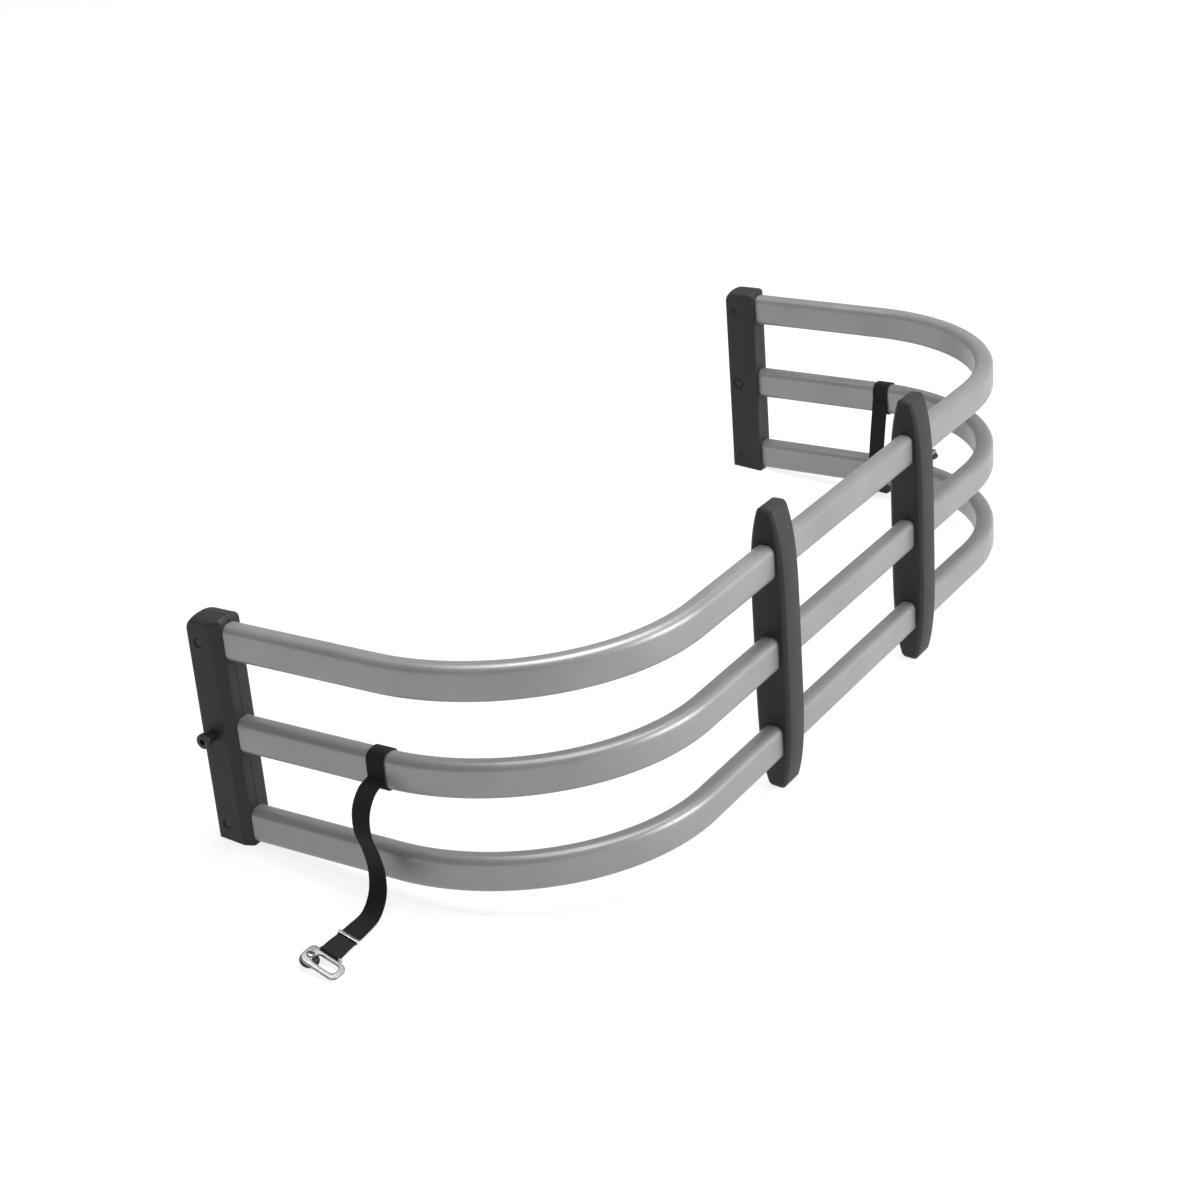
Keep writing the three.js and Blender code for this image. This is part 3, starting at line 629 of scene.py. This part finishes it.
def make_latch(name, side):
    """The plate is built flat about its bar, in millimetres, and then put in its place."""
    place = latch_place(name, side)
    spot = Matrix.Translation(SCREW_AT)
    plate = slab(f"fine_{name}_latch_plate", plate_outline(), PLATE_THICK, 1.1, Matrix())
    combine(plate, "UNION", latch_bar())
    combine(plate, "DIFFERENCE", latch_holes(spot))
    plate.data.transform(place)
    finish_piece(plate, [f"{name}_latch_plate"], LOOKS["casting"])
    make_screw(name, place @ spot)
    make_knob(name, place @ spot)
    make_slider(name, side)


def make_screw(name, place):
    seat = PLATE_THICK / 2 - 0.7
    profile = [(0, -8.6), (2, -8.6), (2, seat), (4.3, seat), (4.4, seat + 0.2), (4.4, seat + 0.9),
               (4.1, seat + 1.5), (3.2, seat + 1.9), (0, seat + 2.1)]
    screw = lathe(f"fine_{name}_knob_screw", profile, place, 48)
    combine(screw, "DIFFERENCE", [hexagon_cutter(2.1, seat + 0.6, seat + 5, place)])
    finish_piece(screw, [f"{name}_knob_screw"], LOOKS["screw"])


def make_knob(name, place):
    """A turned knob with a narrower collar next to the plate, bored for its screw."""
    top = -PLATE_THICK / 2 - GAP
    base = top - KNOB_HIGH
    wide = [(0, base), (7, base), (7.4, base + 0.3), (10.4, base + 0.3), (11.3, base + 0.7),
            (11.9, base + 1.6), (12, base + 2.4), (12, top - 4.2), (11.8, top - 3.6), (11.2, top - 3.3)]
    collar = [(10.4, top - 3), (10.1, top - 2.6), (10.3, top - 2.2), (10.4, top - 0.6), (10, top)]
    bore = [(2.4, top), (2.4, base + 2), (0, base + 2)]
    obj = lathe(f"fine_{name}_knob", wide + collar + bore, place, 72)
    finish_piece(obj, [f"{name}_knob"], LOOKS["knob"])


def make_slider(name, side):
    line = [Vector((side * x, y, z)) for x, y, z in catmull(ROUTES[name], 0.5)]
    total = lengths(line)
    index = min(range(len(line)), key=lambda i: abs(total[-1] - total[i] - SLIDER_BACK))
    direction = (line[index + 2] - line[index - 2]).normalized()
    wide = strap_across(name, side, total[index] / total[-1])
    wide = (wide - direction * wide.dot(direction)).normalized()
    up = direction.cross(wide)
    if up.z < 0:
        up, wide = -up, -wide
    turn = Matrix((wide, up, direction)).transposed().to_4x4()
    place = STANDING @ Matrix.Translation(line[index]) @ turn
    broad = 5
    obj = slab(f"fine_{name}_slider", rounded_rectangle(29.6, 6, 2.2, 6), broad, 0.6, place)
    combine(obj, "DIFFERENCE", [window(rounded_rectangle(27, 3.5, 1.2, 6), broad, 0.3, place)])
    finish_piece(obj, [f"{name}_slider"], LOOKS["slider"])


# ---------------------------------------------------------------- materials
class Nodes:
    """A short way to write a node tree around one Principled shader."""

    def __init__(self, name, **sockets):
        self.material = bpy.data.materials.new(name)
        self.material.use_nodes = True
        self.tree = self.material.node_tree
        self.shader = self.tree.nodes["Principled BSDF"]
        for socket, value in sockets.items():
            self.shader.inputs[socket.replace("_", " ")].default_value = value

    def add(self, kind, inputs=None, **settings):
        node = self.tree.nodes.new(kind)
        for key, value in settings.items():
            setattr(node, key, value)
        for key, value in (inputs or {}).items():
            self.put(node.inputs[key], value)
        return node

    def put(self, socket, value):
        if isinstance(value, bpy.types.NodeSocket):
            self.tree.links.new(value, socket)
        else:
            socket.default_value = value

    def position(self):
        return self.add("ShaderNodeTexCoord").outputs["Object"]

    def noise(self, scale, detail=4, roughness=0.5, vector=None):
        inputs = {"Scale": scale, "Detail": detail, "Roughness": roughness,
                  "Vector": vector or self.position()}
        return self.add("ShaderNodeTexNoise", inputs).outputs["Fac"]

    def remap(self, value, low, high, start=0.0, end=1.0):
        inputs = {"Value": value, "From Min": start, "From Max": end, "To Min": low, "To Max": high}
        return self.add("ShaderNodeMapRange", inputs).outputs["Result"]

    def math(self, operation, a, b=0.0):
        node = self.add("ShaderNodeMath", operation=operation)
        self.put(node.inputs[0], a)
        self.put(node.inputs[1], b)
        return node.outputs[0]

    def blend(self, factor, a, b):
        node = self.add("ShaderNodeMix", data_type="RGBA")
        self.put(node.inputs["Factor"], factor)
        self.put(node.inputs[6], a)
        self.put(node.inputs[7], b)
        return node.outputs[2]

    def bump(self, height, strength, distance):
        node = self.add("ShaderNodeBump", {"Height": height, "Strength": strength, "Distance": distance})
        self.put(self.shader.inputs["Normal"], node.outputs["Normal"])

    def colour(self, value):
        self.put(self.shader.inputs["Base Color"], value)

    def roughness(self, value):
        self.put(self.shader.inputs["Roughness"], value)


def rail_look():
    """Silver satin coating: orange-peel ripple, faint cloudiness and fine handling marks."""
    n = Nodes("silver_coating", Metallic=0.5)
    cloud = n.noise(9, 3)
    fleck = n.noise(2600, 2, 0.6)
    patches = n.remap(cloud, 0, 1, 0.35, 0.65)
    base = n.blend(patches, (0.225, 0.222, 0.217, 1), (0.255, 0.252, 0.246, 1))
    n.colour(n.blend(n.remap(fleck, 0, 0.35, 0.45, 0.75), base, (0.31, 0.306, 0.3, 1)))
    marks = n.noise(60, 6, 0.7)
    n.roughness(n.math("ADD", n.remap(marks, 0.33, 0.43, 0.3, 0.7), n.remap(fleck, -0.02, 0.03)))
    peel = n.math("ADD", n.noise(700, 2), n.math("MULTIPLY", n.noise(3200, 1), 0.3))
    n.bump(peel, 0.12, 0.0002)
    return n.material


def plastic_look():
    """Black moulding with a fine leathery grain and slightly uneven gloss."""
    n = Nodes("moulded_plastic", Specular_IOR_Level=0.28)
    cloud = n.noise(14, 4, 0.6)
    patches = n.remap(cloud, 0, 1, 0.3, 0.7)
    n.colour(n.blend(patches, (0.015, 0.0146, 0.0147, 1), (0.021, 0.0205, 0.0206, 1)))
    leather = n.add("ShaderNodeTexVoronoi", {"Scale": 1500, "Vector": n.position()}, feature="SMOOTH_F1")
    grain = leather.outputs["Distance"]
    n.roughness(n.math("ADD", n.remap(cloud, 0.5, 0.6, 0.3, 0.7), n.remap(grain, 0.03, -0.03)))
    height = n.math("ADD", grain, n.math("MULTIPLY", n.noise(380, 3), 0.6))
    n.bump(height, 0.2, 0.00025)
    return n.material


def webbing_look():
    """Woven polyester: ribs across, columns along in a twill, painted shade in the weave's grooves, and
    paler worn edges.
    """
    n = Nodes("webbing", Sheen_Weight=0.06, Sheen_Roughness=0.4, Specular_IOR_Level=0.12)
    uv = n.add("ShaderNodeTexCoord").outputs["UV"]
    parts = n.add("ShaderNodeSeparateXYZ", {"Vector": uv})
    u = parts.outputs["X"]
    v = parts.outputs["Y"]
    column_wide, rib_long = 0.0017, 0.0009
    column = n.math("MULTIPLY", u, 1 / column_wide)
    inside = n.math("PINGPONG", column, 1.0)
    slanted = n.math("ADD", n.math("MULTIPLY", v, 1 / rib_long), n.math("MULTIPLY", inside, 0.9))
    rib = n.math("ABSOLUTE", n.math("SINE", n.math("MULTIPLY", slanted, math.pi)))
    groove = n.math("ABSOLUTE", n.math("SINE", n.math("MULTIPLY", column, math.pi)))
    height = n.math("ADD", n.math("MULTIPLY", rib, 0.7), n.math("MULTIPLY", groove, 0.5))
    fuzz = n.noise(1800, 3, 0.6)
    edge = n.remap(n.math("ABSOLUTE", u), 0, 1, 0.0115, 0.0132)
    # Colour follows the weave's height: the grooves are painted darker than the ribs, as painted shade.
    groove_shade = n.remap(height, 0, 1, 0.2, 1.1)
    weave_with_groove_shade = n.blend(groove_shade, (0.006, 0.0058, 0.0056, 1), (0.015, 0.0146, 0.0142, 1))
    n.colour(n.blend(n.math("MULTIPLY", edge, n.remap(fuzz, 0, 0.7)), weave_with_groove_shade, (0.03, 0.029, 0.028, 1)))
    n.roughness(n.remap(fuzz, 0.72, 0.9, 0.3, 0.7))
    n.bump(n.math("ADD", height, n.math("MULTIPLY", fuzz, 0.25)), 0.55, 0.00035)
    return n.material


def metal_look(name, tint, low, high, scale, relief):
    """Bare or plated metal, its roughness between low and high, with a fine surface texture."""
    n = Nodes(name, Metallic=1.0)
    cloud = n.noise(45, 4, 0.6)
    dull = tuple(c * 0.82 for c in tint)
    n.colour(n.blend(n.remap(cloud, 0, 1, 0.35, 0.7), (*tint, 1), (*dull, 1)))
    n.roughness(n.remap(n.noise(scale, 5, 0.65), low, high, 0.3, 0.7))
    n.bump(n.noise(scale * 2.4, 3), relief, 0.0002)
    return n.material


def black_steel_look():
    """Blackened steel with slightly uneven gloss."""
    n = Nodes("black_steel", Metallic=0.3, Specular_IOR_Level=0.4)
    cloud = n.noise(120, 4, 0.6)
    n.colour(n.blend(n.remap(cloud, 0, 1, 0.35, 0.7), (0.016, 0.016, 0.017, 1), (0.03, 0.03, 0.031, 1)))
    n.roughness(n.remap(cloud, 0.32, 0.48, 0.3, 0.7))
    n.bump(n.noise(1600, 2), 0.1, 0.0002)
    return n.material


def knob_look():
    """Smooth black plastic."""
    n = Nodes("knob_plastic", Specular_IOR_Level=0.3)
    cloud = n.noise(160, 4, 0.6)
    n.colour(n.blend(n.remap(cloud, 0, 1, 0.3, 0.7), (0.008, 0.008, 0.008, 1), (0.014, 0.014, 0.014, 1)))
    n.roughness(n.remap(cloud, 0.34, 0.46, 0.3, 0.7))
    n.bump(n.noise(2200, 2), 0.1, 0.00015)
    return n.material


# ---------------------------------------------------------------- stage
def make_stage():
    """A pale floor that glows a little, so that it stays white to the edges of the picture."""
    bm = bmesh.new()
    bmesh.ops.create_grid(bm, x_segments=1, y_segments=1, size=120)
    mesh = bpy.data.meshes.new("floor")
    bm.to_mesh(mesh)
    bm.free()
    floor = link("floor", mesh)
    floor.location.z = -0.0004
    paint = bpy.data.materials.new("pale_floor")
    paint.use_nodes = True
    shader = paint.node_tree.nodes["Principled BSDF"]
    shader.inputs["Base Color"].default_value = (0.22, 0.22, 0.22, 1)
    shader.inputs["Roughness"].default_value = 0.9
    shader.inputs["Specular IOR Level"].default_value = 0.1
    shader.inputs["Emission Color"].default_value = (1, 1, 1, 1)
    shader.inputs["Emission Strength"].default_value = 0.8
    mesh.materials.append(paint)


def area_light(name, place, target, size, power):
    data = bpy.data.lights.new(name, "AREA")
    data.shape = "DISK"
    data.size = size
    data.energy = power
    light = bpy.data.objects.new(name, data)
    bpy.context.scene.collection.objects.link(light)
    aim = Vector(target) - Vector(place)
    light.matrix_world = Matrix.Translation(place) @ aim.to_track_quat("-Z", "Y").to_matrix().to_4x4()


def make_light():
    """A studio that is brightest in front of the cage and dimmer at its sides."""
    world = bpy.data.worlds.new("studio")
    world.use_nodes = True
    nodes = world.node_tree.nodes
    links = world.node_tree.links
    facing = nodes.new("ShaderNodeVectorMath")
    facing.operation = "DOT_PRODUCT"
    facing.inputs[1].default_value = (0.5, -0.85, 0.15)
    links.new(nodes.new("ShaderNodeTexCoord").outputs["Generated"], facing.inputs[0])
    ramp = nodes.new("ShaderNodeMapRange")
    links.new(facing.outputs["Value"], ramp.inputs["Value"])
    for socket, value in {"From Min": -1, "From Max": 1, "To Min": 0.25, "To Max": 0.8}.items():
        ramp.inputs[socket].default_value = value
    links.new(ramp.outputs["Result"], nodes["Background"].inputs["Strength"])
    nodes["Background"].inputs["Color"].default_value = (1, 1, 1, 1)
    bpy.context.scene.world = world
    area_light("front", (1.4, -4.0, 1.6), (0, 0, 0.2), 2.5, 140)
    area_light("top", (0.3, -0.2, 4.0), (0, 0, 0), 3.0, 200)
    bpy.context.scene.view_settings.view_transform = "Standard"


# ---------------------------------------------------------------- build
SLOTS = {part["node"]: part["material_slot"] for part in frame["record"]["subparts"]}
LOOKS = {
    "rail": rail_look(),
    "plastic": plastic_look(),
    "webbing": webbing_look(),
    "black_steel": black_steel_look(),
    "casting": metal_look("die_casting", (0.3, 0.3, 0.292), 0.4, 0.52, 260, 0.15),
    "slider": metal_look("plated_slider", (0.66, 0.66, 0.64), 0.25, 0.36, 400, 0.05),
    "screw": metal_look("plated_screw", (0.22, 0.22, 0.212), 0.28, 0.4, 500, 0.08),
    "knob": knob_look(),
}

make_camera()
for side_name, side_sign in SIDES.items():
    make_loop(side_name, side_sign)
    make_latch(side_name, side_sign)
    make_strap(side_name, side_sign)
make_rails()
for side_name, side_sign in SIDES.items():
    make_centre_upright(side_name, side_sign)
    make_end_shell(side_name, side_sign, 1, "outer")
    make_end_shell(side_name, side_sign, -1, "inner")
    make_pivot_pin(side_name, side_sign)

# The small bolts, nuts and set screws are the CAD's own, with softened edges.
for node_name, node in frame["nodes"].items():
    if SLOTS[node_name] == "black_steel" and not node_name.endswith("pivot_pin"):
        node.data.materials.clear()
        node.data.materials.append(LOOKS["black_steel"])
        soften = node.modifiers.new("edges", "BEVEL")
        soften.width = 0.0002
        soften.segments = 2
        soften.limit_method = "ANGLE"

make_stage()
make_light()
